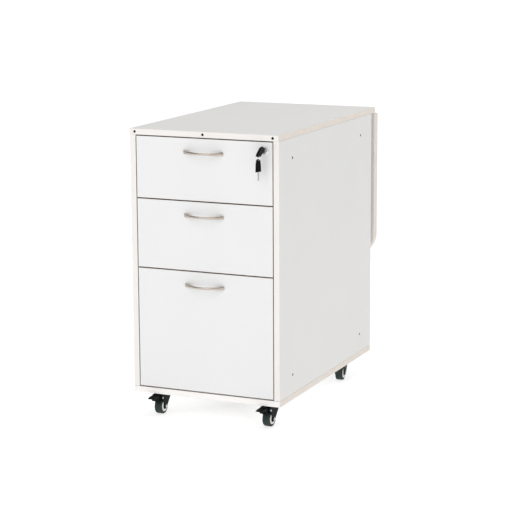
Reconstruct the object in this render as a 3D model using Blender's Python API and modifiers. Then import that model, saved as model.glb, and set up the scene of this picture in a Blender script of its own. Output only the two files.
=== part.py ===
"""Rolling pedestal cabinet: a board carcass on four swivel casters, with three drawers, a gang lock and a
fold-up leaf behind the top. Metres, +Z up, front towards -Y. The origin is on the floor, under the middle of
the object's box."""

import math

import bmesh
import bpy
from mathutils import Matrix, Vector

# Driving dimensions. Lengths along Y are counted from the carcass's front edges, heights from the floor.
WIDTH = 0.400
HEIGHT = 0.729
DEPTH = 0.632
BOARD = 0.015
CASTER_HEIGHT = 0.059
TOP_FRONT_OVERHANG = 0.004
TOP_REAR_OVERHANG = 0.027
MODEL_FRONT_Y = -0.32335  # the front edges' place, so that the origin is under the middle of the box
CLEARANCE = 0.0003

# Dark fixing holes in the top panel's front edge and in the side panels' outer faces.
FIXING_RADIUS = 0.00275
FIXING_DEPTH = 0.004
TOP_FIXING_X = 0.185
SIDE_FIXING_INSET = 0.0825
SIDE_FIXING_RISE = 0.0640

# Drawers: the height of each front and of the box behind it, from the top drawer down.
FRONT_HEIGHTS = (0.153, 0.172, 0.303)
BOX_HEIGHTS = (0.100, 0.120, 0.250)
BOX_RISES = (0.008, 0.008, 0.011)
TOP_DRAWER_DROP = 0.018
FRONT_GAP = 0.003
FRONT_WIDTH = 0.365
BOX_BOARD = 0.012
BOX_FLOOR = 0.006
BOX_WIDTH = 0.344
BOX_REAR_Y = 0.565

# Slides: a channel on the cabinet side and a T-shaped rail on the drawer side.
SHEET = 0.0012
RUNNER_BOTTOM, RUNNER_TOP = -0.002, 0.024
RUNNER_LIP = 0.0087
RUNNER_START_Y, RUNNER_END_Y = 0.018, 0.560
RAIL_BOTTOM, RAIL_TOP = 0.003, 0.019
RAIL_FLANGE_Z = 0.0104
RAIL_REACH = 0.0102

# Bow handles.
HANDLE_HALF_LENGTH = 0.0535
HANDLE_FOOT = 0.0125
HANDLE_PROJECTION = 0.026
HANDLE_THICKNESS = 0.0055
HANDLE_HALF_HEIGHT = 0.0045
HANDLE_DROP = 0.034

# Cam lock in the top drawer's front, and the bar that it moves.
LOCK_X = 0.160
LOCK_DROP = 0.021  # below the front's top edge
ROSETTE_RADIUS, ROSETTE_THICKNESS, ROSETTE_CHAMFER = 0.0125, 0.003, 0.001
BARREL_RADIUS, BARREL_LENGTH = 0.009, 0.030
PLUG_RADIUS, PLUG_PROUD = 0.0053, 0.0006
KEYWAY_WIDTH, KEYWAY_HEIGHT, KEYWAY_DEPTH = 0.0022, 0.0084, 0.020
KEY_TILT = math.radians(26)
CAM_REACH = 0.0165
CAM_REST_ANGLE = math.radians(25)
CAM_HALF_WIDTH = 0.003
CAM_Y = (0.0306, 0.0331)
BAR_Y = (0.0295, 0.0435)
BAR_THICKNESS = 0.0028
BAR_BOTTOM_Z = CASTER_HEIGHT + 0.035
GROOVE_DEPTH = 0.0045
GROOVE_MARGIN = 0.001
PEG_SIZE = 0.008
PEG_RISE = 0.049
PEG_REACH = 0.0090
PEG_SHIFT = 0.001  # towards the rear, from the middle of the bar
PRONG_THICKNESS = 0.003
PRONG_REACH, PRONG_INSET = 0.015, 0.001
PRONG_BOTTOMS = (-0.0102, 0.0150)
TAB_Y = 0.048
TAB_BOTTOM, TAB_TOP = 0.030, 0.045
TAB_LENGTH = 0.012
TAB_REACH = 0.0077

# Keys and ring, seen from the lock's axis.
KEY_BOW_THICKNESS = 0.0028
KEY_BOW_CENTRE_Y = -0.0205
KEY_BOW_HALF_LENGTH, KEY_BOW_HALF_HEIGHT = 0.0123, 0.0128
KEY_BOW_SQUARENESS = 2.5  # the power of the bow's superellipse
KEY_HOLE_RADIUS = 0.0033
KEY_HOLE_DROP, KEY_HOLE_OUT = 0.0068, 0.0056  # from the bow's centre
BLADE_THICKNESS, BLADE_HALF_HEIGHT, BLADE_DEPTH = 0.0016, 0.0037, 0.018
RING_RADIUS, RING_WIRE_RADIUS = 0.0072, 0.00055
RING_YAW = math.radians(-40)
SPARE_TOP_HALF_WIDTH, SPARE_FOOT_HALF_WIDTH = 0.0056, 0.0072
SPARE_BOW_RISE, SPARE_BOW_LENGTH = 0.004, 0.031
SPARE_SLANT = 0.003
SPARE_BLADE_HALF_WIDTH, SPARE_BLADE_LENGTH = 0.002, 0.0215

# Fold-up leaf. It hangs behind the cabinet from a pin under the top's rear edge.
PIN_Y, PIN_Z = 0.661, HEIGHT - 0.0185
LEAF_INNER_Y, LEAF_OUTER_Y = -0.0065, 0.0185
LEAF_TOP_Z, LEAF_LENGTH = 0.0007, 0.3932
LEAF_CORNER = 0.060
HINGE_HALF_LENGTH, HINGE_KNUCKLES = 0.150, 5
KNUCKLE_RADIUS, PIN_RADIUS, BORE_RADIUS = 0.003, 0.0012, 0.0016
WING_LENGTH = 0.0235
POCKET_MARGIN, POCKET_FLOOR_Y = 0.003, 0.0034

# Stay: a bent rod that folds into a recess in the leaf and swings out to a catch on the back panel.
STAY_ARM_Z = -0.130
STAY_LENGTH = 0.2143
STAY_RADIUS = 0.004
STAY_HALF_WIDTH = 0.148
STAY_END_REACH = 0.015
STAY_BEND, STAY_ELBOW = 0.012, 0.006
STAY_PIVOT_CLEARANCE = 0.0003
RECESS_HALF_WIDTH, RECESS_FLOOR_Y = 0.1545, 0.0055
RECESS_ABOVE, RECESS_BELOW = 0.013, 0.222
CATCH_HALF_WIDTH, CATCH_HALF_LENGTH = 0.030, 0.020
CATCH_PLATE, CATCH_NOSE = 0.0022, 0.0025
CATCH_NOSE_REACH, CATCH_LIP_SHORTFALL, CATCH_LIP_DEPTH = 0.006, 0.0031, 0.010

# Casters. Lengths are counted from the swivel axis, with the wheel trailing towards -Y before the yaw.
# The left casters stand further in than the right ones, and each has its own heading.
CASTERS = {
    "front_left": (-0.141, 0.043, 0.0),
    "front_right": (0.1585, 0.043, -3.5),
    "rear_left": (-0.141, 0.527, 4.0),
    "rear_right": (0.157, 0.527, 6.0),
}
CASTER_PLATE_HALF = 0.021
CASTER_PLATE_THICKNESS = 0.0024
CASTER_BOSS_RADIUS, CASTER_BOSS_BOTTOM = 0.014, 0.0535
KINGPIN_RADIUS, KINGPIN_CLEARANCE = 0.004, 0.0004
WHEEL_RADIUS = 0.020
WHEEL_HALF_WIDTH, LIP_HALF_WIDTH, HUB_HALF_WIDTH = 0.0082, 0.0106, 0.0086
LIP_OUTER_RADIUS, LIP_INNER_RADIUS = 0.0137, 0.0118
BEARING_RADIUS = 0.0060
WHEEL_TRAIL = 0.012
AXLE_RADIUS, AXLE_CLEARANCE = 0.0025, 0.0004
AXLE_HEAD_RADIUS, AXLE_HEAD = 0.0045, 0.0035
FORK_INNER, FORK_SHEET = 0.0118, 0.002
FORK_TOP, FORK_BRIDGE = 0.0530, 0.0507
FORK_REAR, FORK_FRONT = 0.0215, -0.034
FORK_SHOULDER = 0.041  # the height where a leg's front edge turns in towards the axle
FORK_BRIDGE_FRONT = -0.0175
FORK_BOSS_RADIUS = 0.0065
PEDAL_PIVOT = (-0.0290, 0.0455)
PEDAL_PIN_RADIUS, PEDAL_PIN_CLEARANCE = 0.0015, 0.0004
PEDAL_HALF_WIDTH = 0.0092
PEDAL_OUTLINE = (
    (-0.0240, 0.0425), (-0.0205, 0.0480), (-0.0205, 0.0530), (-0.0360, 0.0540), (-0.0600, 0.0528),
    (-0.0670, 0.0505), (-0.0660, 0.0490), (-0.0520, 0.0488), (-0.0470, 0.0470), (-0.0445, 0.0390),
    (-0.0425, 0.0390), (-0.0415, 0.0460), (-0.0340, 0.0425),
)

SMOOTH_ANGLE = math.radians(35)


# Scene, collections and materials

for old in list(bpy.data.objects):
    bpy.data.objects.remove(old)

PARTS = bpy.data.collections.new("rolling_pedestal_cabinet")
CUTTERS = bpy.data.collections.new("cutters")
for collection in (PARTS, CUTTERS):
    bpy.context.scene.collection.children.link(collection)

FINISHES = {
    "white_laminate": ((0.87, 0.87, 0.87), 0.45, 0.0),
    "drawer_laminate": ((0.89, 0.89, 0.89), 0.40, 0.0),
    "drawer_board": ((0.80, 0.79, 0.77), 0.55, 0.0),
    "satin_nickel": ((0.62, 0.58, 0.54), 0.32, 1.0),
    "lock_silver": ((0.72, 0.71, 0.69), 0.28, 1.0),
    "slide_steel": ((0.62, 0.63, 0.64), 0.38, 1.0),
    "stay_steel": ((0.60, 0.60, 0.60), 0.35, 1.0),
    "key_plastic": ((0.025, 0.027, 0.027), 0.45, 0.0),
    "caster_black": ((0.018, 0.020, 0.020), 0.40, 0.0),
    "wheel_rubber": ((0.045, 0.065, 0.060), 0.55, 0.0),
}


def material(finish):
    """The named finish's material, made once."""
    found = bpy.data.materials.get(finish)
    if found:
        return found
    colour, roughness, metallic = FINISHES[finish]
    made = bpy.data.materials.new(finish)
    made.use_nodes = True
    shader = made.node_tree.nodes["Principled BSDF"]
    shader.inputs["Base Color"].default_value = (*colour, 1.0)
    shader.inputs["Roughness"].default_value = roughness
    shader.inputs["Metallic"].default_value = metallic
    return made


# Meshes

def evaluated_mesh(guide):
    """The guide object's evaluated mesh, welded. The guide and its data are removed."""
    bpy.context.scene.collection.objects.link(guide)
    bpy.context.view_layer.update()
    mesh = bpy.data.meshes.new_from_object(guide.evaluated_get(bpy.context.evaluated_depsgraph_get()))
    bpy.data.objects.remove(guide)
    form = bmesh.new()
    form.from_mesh(mesh)
    bmesh.ops.remove_doubles(form, verts=form.verts, dist=0.000001)
    bmesh.ops.recalc_face_normals(form, faces=form.faces)
    form.to_mesh(mesh)
    form.free()
    return mesh


def block(low, high):
    """A box between two corners."""
    low, high = Vector(low), Vector(high)
    form = bmesh.new()
    bmesh.ops.create_cube(form, size=1.0)
    bmesh.ops.scale(form, vec=high - low, verts=form.verts)
    bmesh.ops.translate(form, vec=(low + high) / 2, verts=form.verts)
    mesh = bpy.data.meshes.new("block")
    form.to_mesh(mesh)
    form.free()
    return mesh


def rod(start, end, radius, segments=16):
    """A round bar between two points."""
    start, end = Vector(start), Vector(end)
    turn = (end - start).to_track_quat("Z", "Y").to_matrix().to_4x4()
    form = bmesh.new()
    bmesh.ops.create_cone(
        form, cap_ends=True, segments=segments, radius1=radius, radius2=radius,
        depth=(end - start).length, matrix=Matrix.Translation((start + end) / 2) @ turn,
    )
    mesh = bpy.data.meshes.new("rod")
    form.to_mesh(mesh)
    form.free()
    return mesh


def prism(outline, axis, low, high):
    """The closed outline, given in the two other axes, extruded along axis from low to high."""
    curve = bpy.data.curves.new("outline", "CURVE")
    curve.dimensions = "2D"
    curve.fill_mode = "BOTH"
    curve.extrude = (high - low) / 2
    spline = curve.splines.new("POLY")
    spline.points.add(len(outline) - 1)
    for point, (across, up) in zip(spline.points, outline):
        point.co = (across, up, 0.0, 1.0)
    spline.use_cyclic_u = True
    mesh = evaluated_mesh(bpy.data.objects.new("outline", curve))
    turns = {
        "X": Matrix(((0, 0, 1, 0), (1, 0, 0, 0), (0, 1, 0, 0), (0, 0, 0, 1))),
        "Y": Matrix(((1, 0, 0, 0), (0, 0, -1, 0), (0, 1, 0, 0), (0, 0, 0, 1))),
        "Z": Matrix.Identity(4),
    }
    middle = Vector((axis == "X", axis == "Y", axis == "Z")) * (low + high) / 2
    mesh.transform(Matrix.Translation(middle) @ turns[axis])
    return mesh


def turned(profile, towards, steps=24):
    """The closed profile of (radius, height) points, run down its outer side, turned about a line.
    Heights are counted along the direction towards."""
    mesh = bpy.data.meshes.new("profile")
    count = len(profile)
    on_axis = profile[0][0] == 0
    edges = [(i, (i + 1) % count) for i in range(count - on_axis)]
    mesh.from_pydata([(radius, 0.0, height) for radius, height in profile], edges, [])
    guide = bpy.data.objects.new("profile", mesh)
    screw = guide.modifiers.new("turn", "SCREW")
    screw.steps = screw.render_steps = steps
    screw.use_merge_vertices = True
    screw.merge_threshold = 0.000001
    made = evaluated_mesh(guide)
    made.transform(Vector(towards).to_track_quat("Z", "Y").to_matrix().to_4x4())
    return made


def tube(points, radius, cyclic=False):
    """A round wire along the points."""
    curve = bpy.data.curves.new("wire", "CURVE")
    curve.dimensions = "3D"
    curve.bevel_depth = radius
    curve.bevel_resolution = 2
    curve.use_fill_caps = not cyclic
    spline = curve.splines.new("POLY")
    spline.points.add(len(points) - 1)
    for point, place in zip(spline.points, points):
        point.co = (*place, 1.0)
    spline.use_cyclic_u = cyclic
    return evaluated_mesh(bpy.data.objects.new("wire", curve))


def arc(centre, radius, start, end, steps):
    """Points round an arc, in the two axes of its plane, with both ends. Angles are in degrees."""
    return [
        (centre[0] + radius * math.cos(angle), centre[1] + radius * math.sin(angle))
        for angle in (math.radians(start + (end - start) * i / steps) for i in range(steps + 1))
    ]


# Objects

def add(name, mesh, finish, parent, origin=(0.0, 0.0, 0.0), smooth=False):
    """A named part. The mesh and the origin are in the parent's frame."""
    mesh.transform(Matrix.Translation(-Vector(origin)))
    mesh.name = name
    mesh.materials.clear()
    mesh.materials.append(material(finish))
    if smooth:
        mesh.shade_smooth()
        mesh.set_sharp_from_angle(angle=SMOOTH_ANGLE)
    part = bpy.data.objects.new(name, mesh)
    part.location = origin
    part.parent = parent
    PARTS.objects.link(part)
    return part


def pivot(name, place, parent=None, yaw=0.0):
    """An empty on a joint's axis."""
    empty = bpy.data.objects.new(name, None)
    empty.empty_display_size = 0.02
    empty.location = place
    empty.rotation_euler = (0.0, 0.0, yaw)
    empty.parent = parent
    PARTS.objects.link(empty)
    return empty


def boolean(part, mesh, operation):
    """Cuts the mesh from the part, or joins it on. The mesh is in the frame of the part's parent."""
    helper = bpy.data.objects.new(f"{part.name}_{operation.lower()}", mesh)
    helper.parent = part.parent
    helper.hide_render = True
    helper.display_type = "WIRE"
    CUTTERS.objects.link(helper)
    modifier = part.modifiers.new(operation.lower(), "BOOLEAN")
    modifier.operation = operation
    modifier.object = helper


def cut(part, mesh):
    boolean(part, mesh, "DIFFERENCE")


def join(part, mesh):
    boolean(part, mesh, "UNION")


def mirrored(points, side):
    """Outline points with their first value counted towards the given side, -1 or 1."""
    return [(side * across, up) for across, up in points]


# Carcass

def carcass(cabinet):
    """The top, bottom, sides and back, with the fixing holes and the lock bar's groove."""
    half = WIDTH / 2
    under_top = HEIGHT - BOARD
    top = add(
        "top_panel",
        block((-half, -TOP_FRONT_OVERHANG, under_top + CLEARANCE), (half, DEPTH + TOP_REAR_OVERHANG, HEIGHT)),
        "white_laminate", cabinet,
    )
    middle_z = HEIGHT - BOARD / 2
    for x in (-TOP_FIXING_X, 0.0, TOP_FIXING_X):
        front = -TOP_FRONT_OVERHANG
        cut(top, rod((x, front - FIXING_DEPTH, middle_z), (x, front + FIXING_DEPTH, middle_z), FIXING_RADIUS))
    add(
        "bottom_panel", block((-half, 0, CASTER_HEIGHT), (half, DEPTH, CASTER_HEIGHT + BOARD)),
        "white_laminate", cabinet,
    )
    floor = CASTER_HEIGHT + BOARD + CLEARANCE
    for side, name in ((-1, "side_panel_left"), (1, "side_panel_right")):
        inner, outer = side * (half - BOARD), side * half
        panel = add(
            name, block((min(inner, outer), 0, floor), (max(inner, outer), DEPTH, under_top)),
            "white_laminate", cabinet,
        )
        for y in (SIDE_FIXING_INSET, DEPTH - SIDE_FIXING_INSET):
            for z in (CASTER_HEIGHT + SIDE_FIXING_RISE, HEIGHT - SIDE_FIXING_RISE):
                reach = side * FIXING_DEPTH
                cut(panel, rod((outer - reach, y, z), (outer + reach, y, z), FIXING_RADIUS))
        if side == 1:
            cut(panel, block(
                (inner - GROOVE_DEPTH, BAR_Y[0] - GROOVE_MARGIN, floor - BOARD),
                (inner + GROOVE_DEPTH, BAR_Y[1] + GROOVE_MARGIN, HEIGHT),
            ))
    inside = half - BOARD - CLEARANCE
    add("back_panel", block((-inside, DEPTH - BOARD, floor), (inside, DEPTH, under_top)),
        "white_laminate", cabinet)


# Drawers

def drawer_bases():
    """The heights of the drawer fronts' bottom edges, from the top drawer down."""
    top = HEIGHT - TOP_DRAWER_DROP
    bases = []
    for height in FRONT_HEIGHTS:
        bases.append(top - height)
        top -= height + FRONT_GAP
    return bases


def runner(cabinet, name, side, box_z):
    """A C-shaped channel on the inner face of a side panel, open towards the drawer."""
    outer = WIDTH / 2 - BOARD - CLEARANCE
    lip = outer - RUNNER_LIP
    low, high = box_z + RUNNER_BOTTOM, box_z + RUNNER_TOP
    outline = [
        (outer, low), (outer, high), (lip, high), (lip, high - SHEET),
        (outer - SHEET, high - SHEET), (outer - SHEET, low + SHEET), (lip, low + SHEET), (lip, low),
    ]
    add(name, prism(mirrored(outline, side), "Y", RUNNER_START_Y, RUNNER_END_Y), "slide_steel", cabinet)


def rail(drawer, name, side, box_z):
    """A T-shaped rail on the drawer's side. Its flange runs in the channel, and the right one carries the
    tab that the lock bar's peg blocks."""
    inner = BOX_WIDTH / 2 + CLEARANCE
    plate = inner + SHEET
    low, high = box_z + RAIL_BOTTOM, box_z + RAIL_TOP
    flange = box_z + RAIL_FLANGE_Z
    outline = [
        (inner, low), (plate, low), (plate, flange), (inner + RAIL_REACH, flange),
        (inner + RAIL_REACH, flange + SHEET), (plate, flange + SHEET), (plate, high), (inner, high),
    ]
    part = add(name, prism(mirrored(outline, side), "Y", RUNNER_START_Y, BOX_REAR_Y), "slide_steel", drawer)
    if side == 1:
        bracket = [
            (inner, TAB_Y), (inner + TAB_REACH, TAB_Y), (inner + TAB_REACH, TAB_Y + SHEET),
            (plate, TAB_Y + SHEET), (plate, TAB_Y + TAB_LENGTH), (inner, TAB_Y + TAB_LENGTH),
        ]
        upright_top = box_z + TAB_TOP
        join(part, block((inner, TAB_Y + SHEET / 2, high - SHEET), (plate, TAB_Y + TAB_LENGTH, upright_top)))
        join(part, prism(bracket, "Z", box_z + TAB_BOTTOM, box_z + TAB_TOP))


def handle(drawer, name, height):
    """A bow handle: an outer and an inner arc between two feet."""
    foot_y = -CLEARANCE
    inner_half = HANDLE_HALF_LENGTH - HANDLE_FOOT
    outline = []
    for half, rise in (
        (HANDLE_HALF_LENGTH, HANDLE_PROJECTION - CLEARANCE),
        (-inner_half, HANDLE_PROJECTION - CLEARANCE - HANDLE_THICKNESS),
    ):
        radius = (half**2 + rise**2) / (2 * rise)
        spread = math.degrees(math.asin(abs(half) / radius))
        ends = (-90 - spread, -90 + spread) if half > 0 else (-90 + spread, -90 - spread)
        outline += arc((0.0, foot_y - rise + radius), radius, *ends, 12)
    mesh = prism(outline, "Z", height - HANDLE_HALF_HEIGHT, height + HANDLE_HALF_HEIGHT)
    part = add(name, mesh, "satin_nickel", drawer, origin=(0.0, 0.0, height), smooth=True)
    edge = part.modifiers.new("edges", "BEVEL")
    edge.width = 0.001
    edge.segments = 1
    edge.limit_method = "ANGLE"
    edge.angle_limit = math.radians(60)


def drawer(cabinet, number, base, height, box_height, box_rise):
    """A front, its box, its two rails and its handle. The drawer's frame has its front face at y = 0 and
    the front's bottom edge at z = 0."""
    frame = pivot(f"drawer_{number}_slide", (0.0, 0.0, base), cabinet)
    name = f"drawer_{number}"
    half = FRONT_WIDTH / 2
    front = add(f"{name}_front", block((-half, 0, 0), (half, BOARD, height)), "drawer_laminate", frame)
    behind = BOARD + CLEARANCE
    outer, inner = BOX_WIDTH / 2, BOX_WIDTH / 2 - BOX_BOARD
    low, high = box_rise, box_rise + box_height
    for side, word in ((-1, "left"), (1, "right")):
        near, far = sorted((side * inner, side * outer))
        add(f"{name}_side_{word}", block((near, behind, low), (far, BOX_REAR_Y, high)), "drawer_board", frame)
        rail(frame, f"{name}_rail_{word}", side, box_rise)
        runner(cabinet, f"runner_{number}_{word}", side, base + box_rise)
    within = inner - CLEARANCE
    back_y = BOX_REAR_Y - BOX_BOARD
    add(f"{name}_back", block((-within, back_y, low), (within, BOX_REAR_Y, high)), "drawer_board", frame)
    add(
        f"{name}_bottom", block((-within, behind, low), (within, back_y - CLEARANCE, low + BOX_FLOOR)),
        "drawer_board", frame,
    )
    handle(frame, f"{name}_handle", height - HANDLE_DROP)
    return frame, front


# Lock and keys

def lock(drawer_frame, front, front_height):
    """The barrel in the drawer's front, and the plug with its cam and key, which turn about Y."""
    place = (LOCK_X, 0.0, front_height - LOCK_DROP)
    x, _, z = place
    cut(front, rod((x, -BOARD, z), (x, 2 * BOARD, z), BARREL_RADIUS + CLEARANCE, 24))
    seat = pivot("lock_seat", place, drawer_frame)
    bore = PLUG_RADIUS + CLEARANCE
    face = ROSETTE_THICKNESS
    barrel = [
        (bore, face), (ROSETTE_RADIUS - ROSETTE_CHAMFER, face), (ROSETTE_RADIUS, face - ROSETTE_CHAMFER),
        (ROSETTE_RADIUS, CLEARANCE), (BARREL_RADIUS, CLEARANCE), (BARREL_RADIUS, -BARREL_LENGTH),
        (bore, -BARREL_LENGTH),
    ]
    add("lock_barrel", turned(barrel, (0, -1, 0)), "lock_silver", seat, smooth=True)

    turn = pivot("lock_turn", (0.0, 0.0, 0.0), seat)
    cam_front, cam_back = CAM_Y
    plug_face = face + PLUG_PROUD
    plug = add(
        "lock_plug", rod((0, -plug_face, 0), (0, cam_back + CLEARANCE, 0), PLUG_RADIUS, 20),
        "lock_silver", turn, smooth=True,
    )
    arm_end = arc((CAM_REACH, 0.0), CAM_HALF_WIDTH, -90, 90, 6)
    arm = prism(arm_end + [(0.0, CAM_HALF_WIDTH), (0.0, -CAM_HALF_WIDTH)], "Y", cam_front, cam_back)
    arm.transform(Matrix.Rotation(-CAM_REST_ANGLE, 4, "Y"))
    join(plug, arm)
    tilt = Matrix.Rotation(KEY_TILT, 4, "Y")
    across, up = KEYWAY_WIDTH / 2, KEYWAY_HEIGHT / 2
    keyway = block((-across, -2 * plug_face, -up), (across, KEYWAY_DEPTH, up))
    keyway.transform(tilt)
    cut(plug, keyway)
    hole = key_in_lock(turn, tilt)
    spare_key(turn, hole)


def key_in_lock(turn, tilt):
    """A blade in the keyway and a rounded bow outside. Returns the place of the ring's hole."""
    outline = []
    for i in range(28):
        angle = 2 * math.pi * i / 28
        across, up = math.cos(angle), math.sin(angle)
        size = abs(across) ** KEY_BOW_SQUARENESS + abs(up) ** KEY_BOW_SQUARENESS
        squareness = size ** (-1 / KEY_BOW_SQUARENESS)
        outline.append((
            KEY_BOW_CENTRE_Y + KEY_BOW_HALF_LENGTH * across * squareness,
            KEY_BOW_HALF_HEIGHT * up * squareness,
        ))
    bow = prism(outline, "X", -KEY_BOW_THICKNESS / 2, KEY_BOW_THICKNESS / 2)
    bow.transform(tilt)
    key = add("key_in_lock", bow, "key_plastic", turn, smooth=True)
    half = BLADE_THICKNESS / 2
    blade = block((-half, KEY_BOW_CENTRE_Y, -BLADE_HALF_HEIGHT), (half, BLADE_DEPTH, BLADE_HALF_HEIGHT))
    blade.transform(tilt)
    join(key, blade)
    hole = tilt @ Vector((0.0, KEY_BOW_CENTRE_Y - KEY_HOLE_OUT, -KEY_HOLE_DROP))
    across = tilt @ Vector((KEY_BOW_THICKNESS, 0.0, 0.0))
    cut(key, rod(hole - across, hole + across, KEY_HOLE_RADIUS))
    return hole


def spare_key(turn, hole):
    """A split ring through the bow's hole, with the spare key hanging from it."""
    swing = pivot("spare_key_swing", hole, turn)
    steps = 28
    ring = [
        (
            RING_RADIUS * math.cos(angle) * math.cos(RING_YAW),
            RING_RADIUS * math.cos(angle) * math.sin(RING_YAW),
            RING_RADIUS * (math.sin(angle) - 1),
        )
        for angle in (2 * math.pi * i / steps for i in range(steps))
    ]
    add("key_ring", tube(ring, RING_WIRE_RADIUS, cyclic=True), "lock_silver", swing, smooth=True)
    top = SPARE_BOW_RISE - 2 * RING_RADIUS
    shoulder = top - SPARE_TOP_HALF_WIDTH
    bottom = top - SPARE_BOW_LENGTH
    foot = SPARE_FOOT_HALF_WIDTH
    outline = arc((0.0, shoulder), SPARE_TOP_HALF_WIDTH, 0, 180, 12)
    outline += [(-foot, bottom - SPARE_SLANT / 2), (foot, bottom + SPARE_SLANT / 2)]
    half = KEY_BOW_THICKNESS / 2
    key = add("spare_key", prism(outline, "Y", -half, half), "key_plastic", swing, smooth=True)
    blade_top = bottom + 2 * SPARE_SLANT
    blade = block(
        (-SPARE_BLADE_HALF_WIDTH, -BLADE_THICKNESS / 2, bottom - SPARE_BLADE_LENGTH),
        (SPARE_BLADE_HALF_WIDTH, BLADE_THICKNESS / 2, blade_top),
    )
    join(key, blade)
    hole_z = -2 * RING_RADIUS
    cut(key, rod((0, -KEY_BOW_THICKNESS, hole_z), (0, KEY_BOW_THICKNESS, hole_z), KEY_HOLE_RADIUS))


def lock_bar(cabinet, bases):
    """The gang bar in the right side panel's groove: two prongs that the cam moves, and a peg that drops in
    front of each drawer's tab."""
    face = WIDTH / 2 - BOARD
    near = face + GROOVE_DEPTH - BAR_THICKNESS - 2 * CLEARANCE
    lock_z = bases[0] + FRONT_HEIGHTS[0] - LOCK_DROP
    top = lock_z + PRONG_BOTTOMS[1] + PRONG_THICKNESS
    frame = pivot("lock_bar_slide", (near, BAR_Y[0], BAR_BOTTOM_Z), cabinet)
    width = BAR_Y[1] - BAR_Y[0]
    bar = add("lock_bar", block((0, 0, 0), (BAR_THICKNESS, width, top - BAR_BOTTOM_Z)), "slide_steel", frame)
    inside = BAR_THICKNESS / 2
    for offset in PRONG_BOTTOMS:
        low = lock_z + offset - BAR_BOTTOM_Z
        join(bar, block(
            (-PRONG_REACH, PRONG_INSET, low), (inside, width - PRONG_INSET, low + PRONG_THICKNESS)
        ))
    for base, rise in zip(bases, BOX_RISES):
        low = base + rise + PEG_RISE - BAR_BOTTOM_Z
        start = (width - PEG_SIZE) / 2 + PEG_SHIFT
        join(bar, block((-PEG_REACH, start, low), (inside, start + PEG_SIZE, low + PEG_SIZE)))


# Leaf

def knuckle_profile(tail):
    """A hinge wing's cross-section, in (y, z) about the pin: a plate along +Y at the top of a rolled
    knuckle. tail is the plate's far end."""
    plate = KNUCKLE_RADIUS - SHEET
    rolled = arc((0.0, 0.0), KNUCKLE_RADIUS, 90, 360 + math.degrees(math.asin(plate / KNUCKLE_RADIUS)), 14)
    return [(tail, KNUCKLE_RADIUS)] + rolled + [(tail, plate)]


def hinge(cabinet, leaf):
    """A piano hinge: odd knuckles and the pin on the top's wing, even ones on the leaf's wing."""
    length = 2 * HINGE_HALF_LENGTH / HINGE_KNUCKLES
    segments = [
        (-HINGE_HALF_LENGTH + i * length + CLEARANCE, -HINGE_HALF_LENGTH + (i + 1) * length - CLEARANCE)
        for i in range(HINGE_KNUCKLES)
    ]
    clear = KNUCKLE_RADIUS + 2 * CLEARANCE
    wing_base = block(
        (-HINGE_HALF_LENGTH, clear, KNUCKLE_RADIUS - SHEET), (HINGE_HALF_LENGTH, WING_LENGTH, KNUCKLE_RADIUS)
    )

    # The top's wing runs forward from the pin, under the overhang.
    forward = Matrix.Scale(-1, 4, (0, 1, 0))
    pin_frame = pivot("leaf_pin", (0.0, PIN_Y, PIN_Z), cabinet)
    wing = wing_base.copy()
    wing.transform(forward)
    wing.flip_normals()
    top_wing = add("hinge_top_wing", wing, "stay_steel", pin_frame, smooth=True)
    for start, end in segments[::2]:
        knuckle = prism([(-y, z) for y, z in knuckle_profile(2 * clear)], "X", start, end)
        join(top_wing, knuckle)
    ends = HINGE_HALF_LENGTH - 2 * CLEARANCE
    join(top_wing, rod((-ends, 0, 0), (ends, 0, 0), PIN_RADIUS, 12))

    # The leaf's wing hangs down in the leaf's pocket, with its plate on the +Y side of the knuckles.
    hang = Matrix.Rotation(math.radians(-90), 4, "X")
    wing_base.transform(hang)
    leaf_wing = add("hinge_leaf_wing", wing_base, "stay_steel", leaf, smooth=True)
    for start, end in segments[1::2]:
        knuckle = prism(knuckle_profile(2 * clear), "X", start, end)
        knuckle.transform(hang)
        join(leaf_wing, knuckle)
        cut(leaf_wing, rod((start - CLEARANCE, 0, 0), (end + CLEARANCE, 0, 0), BORE_RADIUS, 12))


def leaf(cabinet):
    """The leaf hangs from the pin. Its frame is the pin's axis."""
    frame = pivot("leaf_hinge", (0.0, PIN_Y, PIN_Z), cabinet)
    half, bottom = WIDTH / 2, LEAF_TOP_Z - LEAF_LENGTH
    across, low = half - LEAF_CORNER, bottom + LEAF_CORNER
    outline = [(-half, LEAF_TOP_Z)]
    outline += arc((-across, low), LEAF_CORNER, 180, 270, 10)
    outline += arc((across, low), LEAF_CORNER, 270, 360, 10)
    outline.append((half, LEAF_TOP_Z))
    panel = add("leaf_panel", prism(outline, "Y", LEAF_INNER_Y, LEAF_OUTER_Y), "white_laminate", frame)
    pocket, floor = HINGE_HALF_LENGTH + POCKET_MARGIN, -WING_LENGTH - POCKET_MARGIN
    cut(panel, block((-pocket, 2 * LEAF_INNER_Y, floor), (pocket, POCKET_FLOOR_Y, BOARD)))
    recess, ceiling, floor = RECESS_HALF_WIDTH, STAY_ARM_Z + RECESS_ABOVE, STAY_ARM_Z - RECESS_BELOW
    cut(panel, block((-recess, 2 * LEAF_INNER_Y, floor), (recess, RECESS_FLOOR_Y, ceiling)))
    reach = STAY_HALF_WIDTH + STAY_END_REACH + 2 * CLEARANCE
    seat = STAY_RADIUS + STAY_PIVOT_CLEARANCE
    cut(panel, rod((-reach, 0, STAY_ARM_Z), (reach, 0, STAY_ARM_Z), seat))
    hinge(cabinet, frame)
    stay(frame)


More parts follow.
